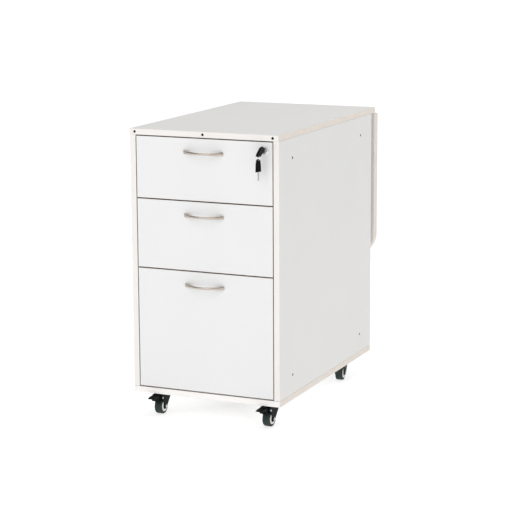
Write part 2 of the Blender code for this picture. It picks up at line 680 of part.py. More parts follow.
def stay(leaf_frame):
    """A rod bent to a U, with its ends turned outwards into holes in the recess's walls."""
    frame = pivot("stay_swing", (0.0, 0.0, STAY_ARM_Z), leaf_frame)
    half, end, bend = STAY_HALF_WIDTH, STAY_HALF_WIDTH + STAY_END_REACH, STAY_BEND
    side = [(end, 0.0)] + arc((half + STAY_ELBOW, -STAY_ELBOW), STAY_ELBOW, 90, 180, 4)
    side += arc((half - bend, -STAY_LENGTH + bend), bend, 0, -90, 6)
    path = side + [(-x, z) for x, z in reversed(side)]
    add("stay_bail", tube([(x, 0.0, z) for x, z in path], STAY_RADIUS), "stay_steel", frame, smooth=True)


def stay_catch(cabinet):
    """A sheet catch on the back panel: a lip under the raised stay's cross bar and a nose over it."""
    drop = STAY_LENGTH * math.sqrt(0.5)
    bar_y = PIN_Y - STAY_ARM_Z - drop
    bar_z = PIN_Z - drop
    plate = DEPTH + CLEARANCE
    face = plate + CATCH_PLATE
    ledge, nose = bar_z - STAY_RADIUS - CLEARANCE, bar_z + STAY_RADIUS + 2 * CLEARANCE
    low, high = bar_z - CATCH_HALF_LENGTH, bar_z + CATCH_HALF_LENGTH
    nose_y = bar_y + CATCH_NOSE_REACH
    outline = [
        (plate, low), (face, low), (face, ledge - CATCH_LIP_DEPTH), (bar_y - CATCH_LIP_SHORTFALL, ledge),
        (face, ledge), (face, nose), (nose_y, nose), (nose_y, nose + CATCH_NOSE),
        (face, nose + 2 * CATCH_NOSE), (face, high), (plate, high),
    ]
    add("stay_catch", prism(outline, "X", -CATCH_HALF_WIDTH, CATCH_HALF_WIDTH), "stay_steel", cabinet)


# Casters

def wheel_profile():
    """A wheel's section in (radius, height): the tread, the proud lip of the core, the hub and the bore."""
    bore = AXLE_RADIUS + AXLE_CLEARANCE
    half, hub, lip = WHEEL_HALF_WIDTH, HUB_HALF_WIDTH, LIP_HALF_WIDTH
    slope = lip - half
    face = [
        (bore, hub), (BEARING_RADIUS, hub), (BEARING_RADIUS + slope / 2, hub - slope / 2),
        (LIP_INNER_RADIUS - slope / 2, hub - slope / 2), (LIP_INNER_RADIUS, lip), (LIP_OUTER_RADIUS, lip),
        (LIP_OUTER_RADIUS + slope / 2, half),
    ]
    shoulder = WHEEL_RADIUS - slope
    face += [
        (shoulder + slope * math.sin(angle), half - slope + slope * math.cos(angle))
        for angle in (math.radians(15 + 30 * i) for i in range(3))
    ]
    return face + [(WHEEL_RADIUS, 0.0)] + [(across, -up) for across, up in reversed(face)]


def fork(swivel, name, has_pedal):
    """Two legs under a bridge, with the kingpin and the axle."""
    wheel = (-WHEEL_TRAIL, WHEEL_RADIUS)
    bridge_top = FORK_BRIDGE + FORK_SHEET
    leg = arc(wheel, FORK_BOSS_RADIUS, 180, 340, 7)
    leg += [(FORK_REAR, bridge_top), (FORK_FRONT, bridge_top), (FORK_FRONT, FORK_SHOULDER)]
    outer = FORK_INNER + FORK_SHEET
    inset = FORK_SHEET / 4
    half, rear, top = outer - inset, FORK_REAR - inset, bridge_top - inset
    bridge = block((-half, FORK_BRIDGE_FRONT, FORK_BRIDGE), (half, rear, top))
    part = add(name, bridge, "caster_black", swivel, smooth=True)
    for side in (-1, 1):
        near, far = sorted((side * FORK_INNER, side * outer))
        join(part, prism(leg, "X", near, far))
    join(part, rod((0, 0, FORK_BRIDGE + inset), (0, 0, FORK_TOP), CASTER_BOSS_RADIUS, 24))
    join(part, rod((0, 0, FORK_BRIDGE + 2 * inset), (0, 0, CASTER_HEIGHT - 2 * CLEARANCE), KINGPIN_RADIUS))
    axle_y, axle_z = wheel
    join(part, rod((inset - outer, axle_y, axle_z), (outer - inset, axle_y, axle_z), AXLE_RADIUS))
    head = outer + AXLE_HEAD
    for side in (-1, 1):
        start, end = (side * (outer - 2 * inset), axle_y, axle_z), (side * head, axle_y, axle_z)
        join(part, rod(start, end, AXLE_HEAD_RADIUS, 12))
    if has_pedal:
        y, z = PEDAL_PIVOT
        cut(part, rod((-head, y, z), (head, y, z), PEDAL_PIN_RADIUS + PEDAL_PIN_CLEARANCE, 12))


def pedal(swivel, name):
    """The brake pedal: a lever with a turned-down tip, on a pin through the fork's legs."""
    y, z = PEDAL_PIVOT
    press = pivot(f"{name}_press", (0.0, y, z), swivel)
    outline = [(along - y, up - z) for along, up in PEDAL_OUTLINE]
    lever = prism(outline, "X", -PEDAL_HALF_WIDTH, PEDAL_HALF_WIDTH)
    part = add(name, lever, "caster_black", press)
    reach = FORK_INNER + FORK_SHEET + CLEARANCE
    join(part, rod((-reach, 0, 0), (reach, 0, 0), PEDAL_PIN_RADIUS, 12))


def caster(cabinet, name, x, y, heading, has_pedal):
    """A plate under the cabinet, and a fork that swivels on it with its wheel and, in front, its brake."""
    place = (x, y, 0.0)
    seat = pivot(f"{name}_seat", place, cabinet)
    under = CASTER_HEIGHT - CLEARANCE
    half = CASTER_PLATE_HALF
    plate = add(
        f"{name}_plate", block((-half, -half, under - CASTER_PLATE_THICKNESS), (half, half, under)),
        "caster_black", seat,
    )
    join(plate, rod((0, 0, CASTER_BOSS_BOTTOM), (0, 0, under - CLEARANCE), CASTER_BOSS_RADIUS, 24))
    bore = KINGPIN_RADIUS + KINGPIN_CLEARANCE
    cut(plate, rod((0, 0, FORK_BRIDGE), (0, 0, CASTER_HEIGHT + BOARD), bore))
    swivel = pivot(f"{name}_swivel", place, cabinet, math.radians(heading))
    fork(swivel, f"{name}_fork", has_pedal)
    spin = pivot(f"{name}_spin", (0.0, -WHEEL_TRAIL, WHEEL_RADIUS), swivel)
    add(f"{name}_wheel", turned(wheel_profile(), (1, 0, 0), 28), "wheel_rubber", spin, smooth=True)
    if has_pedal:
        pedal(swivel, f"{name}_brake")


def main():
    cabinet = pivot("cabinet", (0.0, MODEL_FRONT_Y, 0.0))
    carcass(cabinet)
    bases = drawer_bases()
    sizes = zip(bases, FRONT_HEIGHTS, BOX_HEIGHTS, BOX_RISES)
    for number, (base, height, box_height, box_rise) in enumerate(sizes, 1):
        frame, front = drawer(cabinet, number, base, height, box_height, box_rise)
        if number == 1:
            lock(frame, front, height)
    lock_bar(cabinet, bases)
    leaf(cabinet)
    stay_catch(cabinet)
    for place, (x, y, heading) in CASTERS.items():
        caster(cabinet, f"caster_{place}", x, y, heading, place.startswith("front"))


main()
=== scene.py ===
"""The looks of the rolling pedestal cabinet: laminated boards with banded edges, satin handles, a cam lock
with its keys, steel slides, a fold-up leaf with its hinge and stay, and casters. It works in metres, in the
CAD's frame."""

import math

import bmesh
import bpy
from mathutils import Matrix, Vector


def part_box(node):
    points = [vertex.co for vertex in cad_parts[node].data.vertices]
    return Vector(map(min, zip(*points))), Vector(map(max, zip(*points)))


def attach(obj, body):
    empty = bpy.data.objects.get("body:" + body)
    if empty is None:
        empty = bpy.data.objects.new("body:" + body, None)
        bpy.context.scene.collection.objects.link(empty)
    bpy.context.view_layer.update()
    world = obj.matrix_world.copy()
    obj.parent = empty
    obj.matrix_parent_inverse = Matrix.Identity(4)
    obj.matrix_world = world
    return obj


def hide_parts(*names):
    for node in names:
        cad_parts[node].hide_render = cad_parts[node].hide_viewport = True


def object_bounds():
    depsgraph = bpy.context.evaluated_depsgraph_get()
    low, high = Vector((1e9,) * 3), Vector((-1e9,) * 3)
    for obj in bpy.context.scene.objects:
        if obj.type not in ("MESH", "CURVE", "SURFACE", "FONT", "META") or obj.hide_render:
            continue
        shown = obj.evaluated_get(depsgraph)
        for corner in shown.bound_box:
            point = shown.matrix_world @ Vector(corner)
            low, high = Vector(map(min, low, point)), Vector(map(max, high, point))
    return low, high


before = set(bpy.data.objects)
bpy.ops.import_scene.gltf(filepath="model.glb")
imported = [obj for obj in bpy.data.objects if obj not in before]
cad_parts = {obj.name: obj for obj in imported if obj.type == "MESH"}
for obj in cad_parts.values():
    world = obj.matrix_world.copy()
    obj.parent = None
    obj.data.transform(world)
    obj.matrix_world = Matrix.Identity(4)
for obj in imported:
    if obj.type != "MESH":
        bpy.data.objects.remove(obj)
CAD_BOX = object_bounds()

FRONT_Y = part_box("side_panel_left")[0].y
REAR_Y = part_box("side_panel_left")[1].y
MIDDLE_Z = (CAD_BOX[0].z + CAD_BOX[1].z) / 2

# Boards
EDGE_RADIUS = 0.0006
BAND_WRAP, BAND_RELIEF = 0.0009, -0.00003
FIXING_RADIUS, FIXING_SOCKET, FIXING_HOLE, FIXING_DRILLED = 0.0032, 0.0013, 0.0034, 0.004
FIXING_SUNK, FIXING_LENGTH = 0.0003, 0.0020
TOP_FIXINGS_X = (-0.185, 0.0, 0.185)
SIDE_FIXING_INSET, SIDE_FIXINGS_Z = 0.0825, (0.123, 0.665)
BAR_GROOVE_SIDE, BAR_GROOVE_DEPTH = 0.001, 0.0045
FRONT_THICKNESS, HANDLE_HOLE_SPACING = 0.015, 0.096

# Materials
NOISE_DETAIL = 3.0

# Camera and studio
CAMERA_PLACE = (1.87795, -4.23489, 1.26587)
CAMERA_AZIMUTH, CAMERA_ELEVATION, CAMERA_ROLL = 23.976, 11.012, -0.308
CAMERA_LENS = 126.73
FLOOR_HALF_SIZE = 14.0
FLOOR_REACH = (-0.20, 2.0)  # distances outside the object's footprint that FLOOR_GLOW_AND_PAINTED_SHADE spans
# Painted light and shade on the floor: how strongly it glows at each share of FLOOR_REACH. It is low under
# the object as a painted soft shade, and bright further out.
FLOOR_GLOW_AND_PAINTED_SHADE = ((0.0, 0.50), (0.05, 0.66), (0.10, 0.78), (1.0, 0.90))
AROUND_LEFT, AROUND_RIGHT = 0.25, 0.47
BACKGROUND = 1.05  # what camera rays see, apart from the light on the object
LIGHTS = (  # name, place, size, watts
    ("key_light", (-0.5, -5.2, 3.4), 5.0, 124.0),
    ("top_light", (0.3, 0.4, 3.4), 2.2, 47.0),
)


# Materials

def texture_nodes(made, scale, stretch):
    """A noise in the object's own coordinates, in features per metre."""
    tree = made.node_tree
    place = tree.nodes.new("ShaderNodeTexCoord")
    mapping = tree.nodes.new("ShaderNodeMapping")
    mapping.inputs["Scale"].default_value = stretch
    noise = tree.nodes.new("ShaderNodeTexNoise")
    noise.inputs["Scale"].default_value = scale
    noise.inputs["Detail"].default_value = NOISE_DETAIL
    tree.links.new(place.outputs["Object"], mapping.inputs["Vector"])
    tree.links.new(mapping.outputs["Vector"], noise.inputs["Vector"])
    return noise.outputs["Fac"]


def surface(
    name, colour, roughness, metallic=0.0, shade=0.03, shade_scale=9.0, rough_spread=0.05,
    grain=600.0, grain_depth=0.00003, stretch=(1.0, 1.0, 1.0), specular=0.5,
):
    """A Principled material whose shade and roughness drift slowly, with a fine relief."""
    made = bpy.data.materials.new(name)
    made.use_nodes = True
    tree = made.node_tree
    shader = tree.nodes["Principled BSDF"]
    shader.inputs["Metallic"].default_value = metallic
    shader.inputs["Specular IOR Level"].default_value = specular
    slow = texture_nodes(made, shade_scale, stretch)
    ramp = tree.nodes.new("ShaderNodeValToRGB")
    ramp.color_ramp.elements[0].position = 0.3
    ramp.color_ramp.elements[1].position = 0.7
    ramp.color_ramp.elements[0].color = (*(c * (1 - shade) for c in colour), 1.0)
    ramp.color_ramp.elements[1].color = (*(min(1.0, c * (1 + shade)) for c in colour), 1.0)
    tree.links.new(slow, ramp.inputs["Fac"])
    tree.links.new(ramp.outputs["Color"], shader.inputs["Base Color"])
    fine = texture_nodes(made, grain, stretch)
    spread = tree.nodes.new("ShaderNodeMapRange")
    spread.inputs["To Min"].default_value = roughness - rough_spread
    spread.inputs["To Max"].default_value = roughness + rough_spread
    tree.links.new(fine, spread.inputs["Value"])
    tree.links.new(spread.outputs["Result"], shader.inputs["Roughness"])
    bump = tree.nodes.new("ShaderNodeBump")
    bump.inputs["Strength"].default_value = 1.0
    bump.inputs["Distance"].default_value = grain_depth
    tree.links.new(fine, bump.inputs["Height"])
    tree.links.new(bump.outputs["Normal"], shader.inputs["Normal"])
    return made


LAMINATE = surface("laminate", (0.815, 0.808, 0.788), 0.42, shade=0.008, grain=900.0)
# Painted light: a lighter copy of the laminate for the leaf, which lifts its face where it sits in shade
# behind the cabinet.
LEAF_LAMINATE_PAINTED_LIGHT = surface("leaf_laminate_painted_light", (0.88, 0.865, 0.835), 0.42, shade=0.008, grain=900.0)
FRONT_LAMINATE = surface("front_laminate", (0.85, 0.848, 0.85), 0.36, shade=0.006, grain=900.0)
FRONT_BAND = surface("front_band", (0.89, 0.865, 0.83), 0.38, shade=0.012, grain=1200.0)
# Painted light: a lighter copy of the front band for the bottom board's front edge, which gets less light
# near the floor.
BOTTOM_BAND_PAINTED_LIGHT = surface("bottom_band_painted_light", (0.97, 0.945, 0.915), 0.38, shade=0.012, grain=1200.0)
# Partly the band's warmer tone and partly painted shade: a darker copy of the front band for edges that face
# the sides and back, where less light falls.
SIDE_BAND_PAINTED_SHADE = surface("side_band_painted_shade", (0.84, 0.765, 0.69), 0.45, shade=0.03, shade_scale=40.0, grain=700.0)
# Painted shade: a dark copy of the band for every edge of the drawer fronts, so the gaps between them read
# dark.
DRAWER_BAND_PAINTED_SHADE = surface("drawer_band_painted_shade", (0.54, 0.46, 0.40), 0.5, shade=0.05, shade_scale=40.0, grain=700.0)
DRAWER_BOARD = surface("drawer_board", (0.80, 0.79, 0.77), 0.5, shade=0.01, grain=800.0)
NICKEL = surface(
    "satin_nickel", (0.52, 0.46, 0.405), 0.26, metallic=1.0, shade=0.04, shade_scale=60.0, rough_spread=0.08,
    grain=700.0, grain_depth=0.00002, stretch=(0.08, 1.0, 1.0),
)
LOCK_METAL = surface("lock_metal", (0.90, 0.89, 0.87), 0.40, metallic=1.0, shade=0.03, grain=900.0,
                     grain_depth=0.00001)
ZINC = surface("zinc_plate", (0.60, 0.61, 0.62), 0.36, metallic=1.0, shade=0.08, shade_scale=120.0,
               rough_spread=0.1, grain=500.0, grain_depth=0.00002)
STEEL = surface("bright_steel", (0.62, 0.62, 0.61), 0.3, metallic=1.0, shade=0.05, shade_scale=80.0,
                rough_spread=0.08, grain=600.0, grain_depth=0.00002)
KEY_PLASTIC = surface("key_plastic", (0.007, 0.008, 0.008), 0.42, shade=0.2, shade_scale=300.0, grain=2500.0,
                      grain_depth=0.00004, specular=0.04)
POWDER_BLACK = surface("powder_black", (0.006, 0.007, 0.007), 0.36, shade=0.2, shade_scale=200.0,
                       rough_spread=0.08, grain=1600.0, grain_depth=0.00006, specular=0.04)
TREAD_RUBBER = surface("tread_rubber", (0.024, 0.038, 0.035), 0.55, shade=0.15, shade_scale=150.0,
                       grain=1400.0, grain_depth=0.00008, specular=0.25)
RING_CREAM = surface("ring_cream", (0.93, 0.885, 0.83), 0.4, shade=0.03, shade_scale=150.0, grain=900.0)
HUB_BLACK = surface("hub_black", (0.007, 0.008, 0.008), 0.35, shade=0.1, shade_scale=150.0, grain=1200.0,
                    specular=0.04)
# Near black for two painted marks: the shade in the fixings' drilled holes, and a dark reflection in the lock
# rosette's notch.
PAINTED_SHADE_AND_REFLECTION = surface("painted_shade_and_reflection", (0.007, 0.005, 0.004), 0.55, shade=0.15, shade_scale=400.0, grain=2000.0,
                      specular=0.2)
# Painted shade: a dark copy of the lock metal for the plug, standing in for the key's shadow round the
# keyway.
PLUG_METAL_PAINTED_SHADE = surface("plug_metal_painted_shade", (0.30, 0.29, 0.28), 0.32, metallic=1.0, shade=0.05, grain=900.0,
                     grain_depth=0.00001)
BLADE_METAL = surface("blade_metal", (0.46, 0.45, 0.44), 0.34, metallic=1.0, shade=0.05, shade_scale=80.0,
                      grain=900.0, grain_depth=0.00001)
BOLT_METAL = surface("bolt_metal", (0.56, 0.60, 0.65), 0.30, metallic=1.0, shade=0.05, shade_scale=120.0,
                     grain=900.0, grain_depth=0.00001)
# The floor's material. Its glow, added in the studio, is painted light, with a painted shade under the
# object.
FLOOR_PAINTED_GLOW = surface("floor_painted_glow", (0.45, 0.45, 0.45), 0.9, shade=0.005, shade_scale=2.0, grain=60.0,
                      specular=0.1)


# Shapes

def made_object(name, form, *materials, smooth=30.0):
    """An object from the bmesh, shaded smooth except at edges sharper than the angle."""
    mesh = bpy.data.meshes.new(name)
    bmesh.ops.recalc_face_normals(form, faces=form.faces)
    form.to_mesh(mesh)
    form.free()
    for material in materials:
        mesh.materials.append(material)
    mesh.shade_smooth()
    mesh.set_sharp_from_angle(angle=math.radians(smooth))
    piece = bpy.data.objects.new(name, mesh)
    bpy.context.scene.collection.objects.link(piece)
    return piece


def cuboid(low, high):
    form = bmesh.new()
    low, high = Vector(low), Vector(high)
    bmesh.ops.create_cube(form, size=1.0)
    bmesh.ops.scale(form, vec=high - low, verts=form.verts)
    bmesh.ops.translate(form, vec=(low + high) / 2, verts=form.verts)
    return form


def rounded(form, width, segments=2, sharper_than=30.0):
    """Bevels the form's sharp edges."""
    limit = math.radians(sharper_than)
    edges = [e for e in form.edges if len(e.link_faces) == 2 and e.calc_face_angle() > limit]
    bmesh.ops.bevel(
        form, geom=edges, offset=width, segments=segments, profile=0.5, affect="EDGES", clamp_overlap=True
    )
    return form


def drum(start, end, radius, segments=32):
    """A round bar between two points."""
    start, end = Vector(start), Vector(end)
    turn = (end - start).to_track_quat("Z", "Y").to_matrix().to_4x4()
    form = bmesh.new()
    bmesh.ops.create_cone(
        form, cap_ends=True, segments=segments, radius1=radius, radius2=radius,
        depth=(end - start).length, matrix=Matrix.Translation((start + end) / 2) @ turn,
    )
    return form


def arc(centre, radius, start, end, steps):
    """Points round an arc, with both ends. Angles are in degrees."""
    return [
        (centre[0] + radius * math.cos(angle), centre[1] + radius * math.sin(angle))
        for angle in (math.radians(start + (end - start) * i / steps) for i in range(steps + 1))
    ]


PLANES = {
    "X": lambda across, up, along: (along, across, up),
    "Y": lambda across, up, along: (across, along, up),
    "Z": lambda across, up, along: (across, up, along),
}


def extruded(outline, axis, low, high):
    """The closed outline, in the two other axes, extruded along axis."""
    form = bmesh.new()
    place = PLANES[axis]
    rings = [[form.verts.new(place(a, b, along)) for a, b in outline] for along in (low, high)]
    count = len(outline)
    for i in range(count):
        j = (i + 1) % count
        form.faces.new((rings[0][i], rings[0][j], rings[1][j], rings[1][i]))
    form.faces.new(rings[0])
    form.faces.new(rings[1])
    return form


def lofted(rings):
    """Skins rings of points, each with the same count, and closes both ends."""
    form = bmesh.new()
    rows = [[form.verts.new(point) for point in ring] for ring in rings]
    for near, far in zip(rows, rows[1:]):
        for i in range(len(near)):
            j = (i + 1) % len(near)
            form.faces.new((near[i], near[j], far[j], far[i]))
    form.faces.new(rows[0])
    form.faces.new(rows[-1])
    return form


def turned(profile, centre, towards, steps=48):
    """The closed profile of (radius, height) points turned about a line through centre. A profile point on
    the line closes the shape there."""
    turn = Vector(towards).to_track_quat("Z", "Y").to_matrix()
    centre = Vector(centre)
    form = bmesh.new()
    columns = []
    for radius, height in profile:
        if radius == 0:
            columns.append([form.verts.new(centre + turn @ Vector((0, 0, height)))] * steps)
            continue
        columns.append([
            form.verts.new(centre + turn @ Vector((radius * math.cos(a), radius * math.sin(a), height)))
            for a in (2 * math.pi * i / steps for i in range(steps))
        ])
    closes = profile[0][0] > 0 and profile[-1][0] > 0
    pairs = list(zip(columns, columns[1:])) + ([(columns[-1], columns[0])] if closes else [])
    for near, far in pairs:
        for i in range(steps):
            j = (i + 1) % steps
            corners = list(dict.fromkeys((near[i], near[j], far[j], far[i])))
            form.faces.new(corners)
    return form


def piped(path, radius, sides=16):
    """A round wire along the points."""
    points = [Vector(p) for p in path]
    rings = []
    normal = None
    for i, point in enumerate(points):
        before, after = points[max(i - 1, 0)], points[min(i + 1, len(points) - 1)]
        along = (after - before).normalized()
        if normal is None:
            normal = along.orthogonal().normalized()
        normal = (normal - along * normal.dot(along)).normalized()
        across = along.cross(normal)
        rings.append([
            point + radius * (math.cos(a) * normal + math.sin(a) * across)
            for a in (2 * math.pi * k / sides for k in range(sides))
        ])
    return lofted(rings)


def merged(forms):
    """One bmesh holding all the forms."""
    whole = bmesh.new()
    for form in forms:
        mesh = bpy.data.meshes.new("part")
        form.to_mesh(mesh)
        form.free()
        whole.from_mesh(mesh)
        bpy.data.meshes.remove(mesh)
    return whole


def carved(piece, forms):
    """Cuts the forms from the piece, one after another."""
    for form in forms:
        bmesh.ops.recalc_face_normals(form, faces=form.faces)
        mesh = bpy.data.meshes.new("tool")
        form.to_mesh(mesh)
        form.free()
        tool = bpy.data.objects.new("tool", mesh)
        bpy.context.scene.collection.objects.link(tool)
        modifier = piece.modifiers.new("carve", "BOOLEAN")
        modifier.operation = "DIFFERENCE"
        modifier.object = tool
        bpy.context.view_layer.update()
        result = bpy.data.meshes.new_from_object(
            piece.evaluated_get(bpy.context.evaluated_depsgraph_get())
        )
        piece.modifiers.clear()
        old, piece.data = piece.data, result
        bpy.data.objects.remove(tool)
        bpy.data.meshes.remove(mesh)
        bpy.data.meshes.remove(old)
    return piece


def placed(piece, body, slot, *nodes):
    """The piece rides on the body and stands for the nodes; slot is not used. Its large faces keep
    their own normals, and the narrow bevels turn between them."""
    piece.modifiers.new("normals", "WEIGHTED_NORMAL").keep_sharp = True
    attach(piece, body)
    if nodes:
        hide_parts(*nodes)
    return piece


def softened(node, body, slot, material, width=0.0002, segments=2):
    """The CAD node's own shape with its edges rounded."""
    form = bmesh.new()
    form.from_mesh(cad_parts[node].data)
    bmesh.ops.remove_doubles(form, verts=form.verts, dist=0.000002)
    bmesh.ops.dissolve_limit(
        form, angle_limit=math.radians(1), verts=form.verts, edges=form.edges, use_dissolve_boundaries=False
    )
    rounded(form, width, segments, 40.0)
    return placed(made_object(f"{node}_finished", form, material), body, slot, node)


# Boards

def banded_board(name, low, high, face, bands, round_width=EDGE_RADIUS, rim=None):
    """A board between two corners, with a laminate on its two large faces and banded edges. bands maps an
    edge's direction, such as "-Y", to its material, and None is the band elsewhere. rim is the seen edge of
    the band round the large faces."""
    low, high = Vector(low), Vector(high)
    size = high - low
    thin = min(range(3), key=lambda axis: size[axis])
    rim = rim or bands[None]
    materials = list(dict.fromkeys([face, rim, *bands.values()]))
    form = cuboid(low, high)
    for side in form.faces:
        axis = max(range(3), key=lambda a: abs(side.normal[a]))
        if axis != thin:
            direction = ("-" if side.normal[axis] < 0 else "+") + "XYZ"[axis]
            side.material_index = materials.index(bands.get(direction, bands[None]))
    rounded(form, round_width, 3)
    large = [f for f in form.faces if abs(f.normal[thin]) > 0.999 and f.calc_area() > 0.5 * max(
        g.calc_area() for g in form.faces)]
    for side in large:
        wrap = bmesh.ops.inset_individual(form, faces=[side], thickness=BAND_WRAP, depth=BAND_RELIEF)
        for ring in wrap["faces"]:
            ring.material_index = materials.index(rim)
    return made_object(name, form, *materials, smooth=40.0)


def fixing(name, place, axis, body):
    """A recessed fixing with a hexagon socket, coloured near black: a real screw head whose colour also
    paints the shade of its drilled hole. axis points out of the board.
    """
    place, axis = Vector(place), Vector(axis)
    sunk = place - axis * FIXING_SUNK
    chamfer = 0.0002
    head = turned([
        (0.0, -FIXING_LENGTH), (FIXING_RADIUS, -FIXING_LENGTH), (FIXING_RADIUS, -chamfer),
        (FIXING_RADIUS - chamfer, 0.0), (0.0, 0.0),
    ], sunk, axis, 24)
    piece = made_object(name, head, PAINTED_SHADE_AND_REFLECTION)
    socket = drum(sunk - axis * 0.0012, sunk + axis * 0.001, FIXING_SOCKET, 6)
    carved(piece, [socket])
    return placed(piece, body, "caster_black")


def carcass():
    """Top, bottom, sides and back, drilled where the fixings are."""
    # Side and back edges take the darker band, which is partly a warmer tone and partly painted shade.
    warm_and_shaded_edges = {None: FRONT_BAND, "-X": SIDE_BAND_PAINTED_SHADE, "+X": SIDE_BAND_PAINTED_SHADE, "+Y": SIDE_BAND_PAINTED_SHADE}
    plain = {None: FRONT_BAND}
    radius, depth = FIXING_HOLE, FIXING_DRILLED
    low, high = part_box("top_panel")
    top = banded_board("top_board", low, high, LAMINATE, warm_and_shaded_edges)
    middle = (low.z + high.z) / 2
    holes = []
    for i, x in enumerate(TOP_FIXINGS_X):
        holes.append(drum((x, low.y - depth, middle), (x, low.y + depth, middle), radius))
        fixing(f"top_fixing_{i + 1}", (x, low.y, middle), (0, -1, 0), "cabinet")
    carved(top, holes)
    placed(top, "cabinet", "white_laminate", "top_panel")

    low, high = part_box("bottom_panel")
    # The bottom board's front edge takes the lighter band, which is painted light.
    board = banded_board("bottom_board", low, high, LAMINATE, warm_and_shaded_edges | {"-Y": BOTTOM_BAND_PAINTED_LIGHT})
    placed(board, "cabinet", "white_laminate", "bottom_panel")

    for side, word in ((-1, "left"), (1, "right")):
        node = f"side_panel_{word}"
        low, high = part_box(node)
        outer = high.x if side > 0 else low.x
        board = banded_board(f"side_board_{word}", low, high, LAMINATE, plain)
        holes = []
        ends = (FRONT_Y + SIDE_FIXING_INSET, REAR_Y - SIDE_FIXING_INSET)
        places = [(y, z) for y in ends for z in SIDE_FIXINGS_Z]
        for i, (y, z) in enumerate(places):
            holes.append(drum((outer - side * depth, y, z), (outer + side * depth, y, z), radius))
            fixing(f"side_fixing_{word}_{i + 1}", (outer, y, z), (side, 0, 0), "cabinet")
        if side > 0:
            bar_low, bar_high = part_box("lock_bar")
            holes.append(cuboid(
                (low.x - 0.005, bar_low.y - BAR_GROOVE_SIDE, low.z - 0.01),
                (low.x + BAR_GROOVE_DEPTH, bar_high.y + BAR_GROOVE_SIDE, high.z + 0.01),
            ))
        carved(board, holes)
        placed(board, "cabinet", "white_laminate", node)
    low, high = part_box("back_panel")
    placed(banded_board("back_board", low, high, LAMINATE, plain), "cabinet", "white_laminate", "back_panel")


# Drawers

def screw_head(place, axis, radius=0.0032, height=0.0012):
    """A low round head with a small round pit in its middle."""
    place, axis = Vector(place), Vector(axis)
    profile = [(radius, 0.0)] + [
        (radius * math.cos(a), height * math.sin(a)) for a in (math.radians(d) for d in (25, 50, 70))
    ] + [(radius * 0.18, height * 0.98), (radius * 0.14, height * 0.55), (0.0, height * 0.5)]
    form = turned([(0.0, -0.0001)] + profile, place, axis, 20)
    return form


def handle(number):
    """A bow handle: sections along two arcs, taller at its flared ends."""
    body = f"drawer_{number}"
    low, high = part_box(f"drawer_{number}_handle")
    centre_z = (low.z + high.z) / 2
    half, foot = 0.0535, 0.0125
    projection, thickness, end_thickness = 0.0257, 0.0050, 0.0020
    foot_y = FRONT_Y - 0.0003

    def arc_depth(x, reach, rise):
        radius = (reach**2 + rise**2) / (2 * rise)
        return math.sqrt(max(0.0, radius**2 - x**2)) - (radius - rise)

    rings = []
    steps, sides = 56, 24
    for i in range(steps + 1):
        x = -half * math.cos(math.pi * i / steps)
        outer = end_thickness + arc_depth(x, half, projection - end_thickness)
        inner = max(0.0, arc_depth(x, half - foot, projection - thickness)) if abs(x) < half - foot else 0.0
        share = abs(x) / half
        tall = 0.0028 + 0.0019 * share**2
        end = math.sqrt(max(0.0, 1 - max(0.0, (share - 0.965) / 0.035) ** 2))
        tall *= 0.25 + 0.75 * end
        outer = inner + (outer - inner) * (0.15 + 0.85 * end)
        middle, deep = (outer + inner) / 2, (outer - inner) / 2
        ring = []
        for k in range(sides):
            a = 2 * math.pi * k / sides
            c, s = math.cos(a), math.sin(a)
            square = (abs(c) ** 3 + abs(s) ** 3) ** (-1 / 3)
            ring.append((x, foot_y - middle + deep * c * square, centre_z + tall * s * square))
        rings.append(ring)
    piece = made_object(f"handle_{number}", lofted(rings), NICKEL, smooth=50.0)
    placed(piece, body, "satin_nickel", f"drawer_{number}_handle")
    heads = [
        screw_head((x, FRONT_Y + FRONT_THICKNESS + 0.0001, centre_z), (0, 1, 0), 0.004, 0.0016)
        for x in (-HANDLE_HOLE_SPACING / 2, HANDLE_HOLE_SPACING / 2)
    ]
    placed(made_object(f"handle_screws_{number}", merged(heads), ZINC), body, "slide_steel")


def drawer(number):
    body = f"drawer_{number}"
    low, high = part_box(f"{body}_front")
    # Every edge of the front takes the dark band, which is painted shade in the gaps between the fronts.
    front = banded_board(f"{body}_face", low, high, FRONT_LAMINATE, {None: DRAWER_BAND_PAINTED_SHADE}, 0.0008, FRONT_BAND)
    if number == 1:
        barrel_low, barrel_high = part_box("lock_barrel")
        x, z = (barrel_low.x + barrel_high.x) / 2, (barrel_low.z + barrel_high.z) / 2
        carved(front, [drum((x, low.y - 0.01, z), (x, high.y + 0.01, z), 0.0093, 48)])
    placed(front, body, "drawer_laminate", f"{body}_front")
    for part in ("side_left", "side_right", "back", "bottom"):
        node = f"{body}_{part}"
        low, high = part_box(node)
        board = banded_board(f"{node}_board", low, high, DRAWER_BOARD, {None: DRAWER_BOARD}, 0.0005)
        placed(board, body, "drawer_board", node)
    for word, side in (("left", -1), ("right", 1)):
        softened(f"{body}_rail_{word}", body, "slide_steel", ZINC, 0.00015)
        softened(f"runner_{number}_{word}", "cabinet", "slide_steel", ZINC, 0.00015)
        low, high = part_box(f"runner_{number}_{word}")
        web = (high.x if side > 0 else low.x) - side * 0.0012
        middle = (low.z + high.z) / 2
        heads = [
            screw_head((web, y, middle + 0.006), (-side, 0, 0), 0.0028, 0.0009)
            for y in (low.y + 0.020, low.y + 0.220, high.y - 0.030)
        ]
        screws = made_object(f"runner_screws_{number}_{word}", merged(heads), ZINC)
        placed(screws, "cabinet", "slide_steel")
    handle(number)


# Lock and keys

